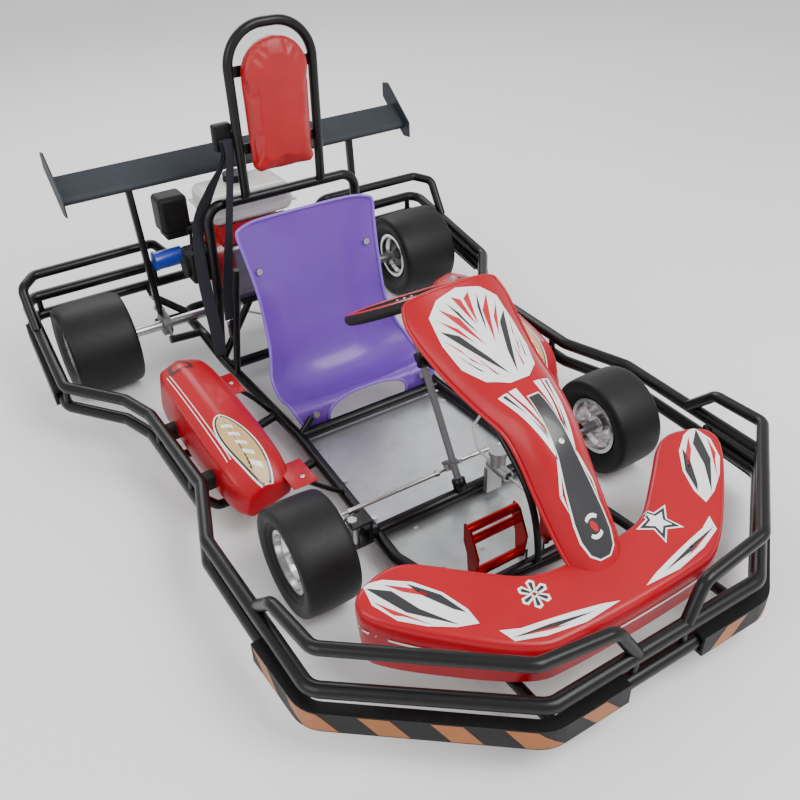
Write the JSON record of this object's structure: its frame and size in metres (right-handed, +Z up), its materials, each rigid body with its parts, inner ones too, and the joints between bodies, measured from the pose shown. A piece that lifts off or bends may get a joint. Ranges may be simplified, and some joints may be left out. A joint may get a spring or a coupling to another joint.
{
  "type": "go kart",
  "caption": "Low racing kart with a full perimeter bumper, red nose, steering panel and side pods, purple bucket seat, headrest hoop, rear engine and rear wing.",
  "frame": {"origin": "on the ground below the centre of the whole kart", "axes": "+X towards the driver's left, -Y towards the front, +Z up"},
  "size_m": [1.4716, 1.956, 1.023],
  "materials": {
    "rail_black": "satin",
    "frame_black": "satin",
    "guard_black": "matte",
    "tray_grey": "brushed",
    "body_red": "gloss",
    "seat_purple": "gloss",
    "tyre": "matte",
    "rim": "satin",
    "zinc": "satin",
    "bolt": "satin",
    "disc_steel": "satin",
    "cast": "matte",
    "engine_alloy": "matte",
    "shroud_red": "gloss",
    "tank_white": "gloss",
    "plastic_black": "matte",
    "silencer_blue": "satin",
    "wing_grey": "matte",
    "pad_red": "satin",
    "webbing": "woven",
    "hose_braid": "braided",
    "grip_rubber": "matte",
    "pedal_red": "anodised"
  },
  "bodies": {
    "chassis": {"bumper_upper_rail": "rail_black", "bumper_lower_rail": "rail_black", "bumper_loops": "rail_black", "bumper_stays": "rail_black", "bumper_guards": "guard_black", "chassis_frame": "frame_black", "floor_tray": "tray_grey", "tray_bolts": "bolt", "brake_caliper": "engine_alloy", "axle_bearings": "cast", "kingpins": "bolt", "column_support": "frame_black", "pedal_shafts": "zinc", "master_cylinder": "engine_alloy", "brake_hose": "hose_braid", "seat_shell": "seat_purple", "seat_bolts": "bolt", "seat_back_bar": "frame_black", "headrest_hoop": "frame_black", "headrest_pad": "pad_red", "belt_guide": "plastic_black", "belt_webbing": "webbing", "belt_retractor": "plastic_black", "wing_blade": "wing_grey", "wing_endplates": "wing_grey", "wing_struts": "frame_black", "nose_fairing": "body_red", "front_panel": "body_red", "body_stays": "frame_black", "side_pod_left": "body_red", "side_pod_right": "body_red", "engine_block": "engine_alloy", "engine_shroud": "shroud_red", "fuel_tank": "tank_white", "air_cleaner": "plastic_black", "silencer": "silencer_blue", "drive_chain": "zinc", "chain_guard": "frame_black"},
    "rear_axle": {"rear_axle": "zinc", "axle_sprocket": "disc_steel", "brake_disc": "disc_steel", "rear_rims": "rim", "rear_tyres": "tyre"},
    "clutch": {"clutch_drum": "disc_steel"},
    "spindle_left": {"spindle_left": "zinc"},
    "spindle_right": {"spindle_right": "zinc"},
    "front_wheel_left": {"front_rim_left": "rim", "front_tyre_left": "tyre"},
    "front_wheel_right": {"front_rim_right": "rim", "front_tyre_right": "tyre"},
    "steering": {"steering_column": "zinc", "steering_wheel": "grip_rubber"},
    "tie_rod_left": {"tie_rod_left": "zinc"},
    "tie_rod_right": {"tie_rod_right": "zinc"},
    "throttle_pedal": {"throttle_pedal": "pedal_red"},
    "brake_pedal": {"brake_pedal": "pedal_red"},
    "brake_rod": {"brake_rod": "zinc"},
    "starter_grip": {"starter_grip": "plastic_black"},
    "throttle_lever": {"throttle_lever": "plastic_black"},
    "fuel_cap": {"fuel_cap": "plastic_black"}
  },
  "joints": [
    {"name": "rear_axle_spin", "type": "hinge", "parent": "chassis", "child": "rear_axle", "pos_m": [0, 0.778, 0.14], "axis": [1, 0, 0], "continuous": true},
    {"name": "clutch_spin", "type": "hinge", "parent": "chassis", "child": "clutch", "pos_m": [0.095, 0.72, 0.34], "axis": [1, 0, 0], "continuous": true},
    {"name": "steering_turn", "type": "hinge", "parent": "chassis", "child": "steering", "pos_m": [0, -0.306, 0.075], "axis": [0, 0.497, 0.8678], "range_deg": [-60, 60]},
    {"name": "spindle_left_turn", "type": "hinge", "parent": "chassis", "child": "spindle_left", "pos_m": [0.322, -0.344, 0.13], "axis": [0, 0, 1], "range_deg": [-22, 22]},
    {"name": "spindle_right_turn", "type": "hinge", "parent": "chassis", "child": "spindle_right", "pos_m": [-0.322, -0.344, 0.13], "axis": [0, 0, 1], "range_deg": [-22, 22]},
    {"name": "front_wheel_left_spin", "type": "hinge", "parent": "spindle_left", "child": "front_wheel_left", "pos_m": [0.434, -0.344, 0.13], "axis": [1, 0, 0], "continuous": true},
    {"name": "front_wheel_right_spin", "type": "hinge", "parent": "spindle_right", "child": "front_wheel_right", "pos_m": [-0.434, -0.344, 0.13], "axis": [1, 0, 0], "continuous": true},
    {"name": "tie_rod_left_turn", "type": "hinge", "parent": "spindle_left", "child": "tie_rod_left", "pos_m": [0.322, -0.263, 0.117], "axis": [0, 0, 1], "range_deg": [-22, 22]},
    {"name": "tie_rod_right_turn", "type": "hinge", "parent": "spindle_right", "child": "tie_rod_right", "pos_m": [-0.322, -0.263, 0.117], "axis": [0, 0, 1], "range_deg": [-22, 22]},
    {"name": "throttle_pedal_push", "type": "hinge", "parent": "chassis", "child": "throttle_pedal", "pos_m": [-0.082, -0.554, 0.08], "axis": [1, 0, 0], "range_deg": [0, 25], "stiffness_Nm_per_rad": 4, "springref_deg": -11.46},
    {"name": "brake_pedal_push", "type": "hinge", "parent": "chassis", "child": "brake_pedal", "pos_m": [0.114, -0.554, 0.08], "axis": [1, 0, 0], "range_deg": [0, 20], "stiffness_Nm_per_rad": 8, "springref_deg": -8.59},
    {"name": "brake_rod_pivot", "type": "hinge", "parent": "brake_pedal", "child": "brake_rod", "pos_m": [0.088, -0.554, 0.14], "axis": [1, 0, 0], "range_deg": [-21, 1]},
    {"name": "starter_pull", "type": "slide", "parent": "chassis", "child": "starter_grip", "axis": [-1, 0, 0], "range_m": [0, 0.5], "stiffness_N_per_m": 5, "springref_m": -0.3},
    {"name": "throttle_lever_swing", "type": "hinge", "parent": "chassis", "child": "throttle_lever", "pos_m": [-0.229, 0.756, 0.372], "axis": [-1, 0, 0], "range_deg": [-8, 15]},
    {"name": "fuel_cap_turn", "type": "hinge", "parent": "chassis", "child": "fuel_cap", "pos_m": [-0.074, 0.735, 0.567], "axis": [0, 0, 1], "range_deg": [0, 90]}
  ],
  "couplings": [
    {"joint": "clutch_spin", "follows": "rear_axle_spin", "ratio": 3},
    {"joint": "spindle_left_turn", "follows": "steering_turn", "ratio": 0.355},
    {"joint": "spindle_right_turn", "follows": "steering_turn", "ratio": 0.355},
    {"joint": "tie_rod_left_turn", "follows": "steering_turn", "ratio": -0.355},
    {"joint": "tie_rod_right_turn", "follows": "steering_turn", "ratio": -0.355},
    {"joint": "brake_rod_pivot", "follows": "brake_pedal_push", "ratio": -1}
  ]
}
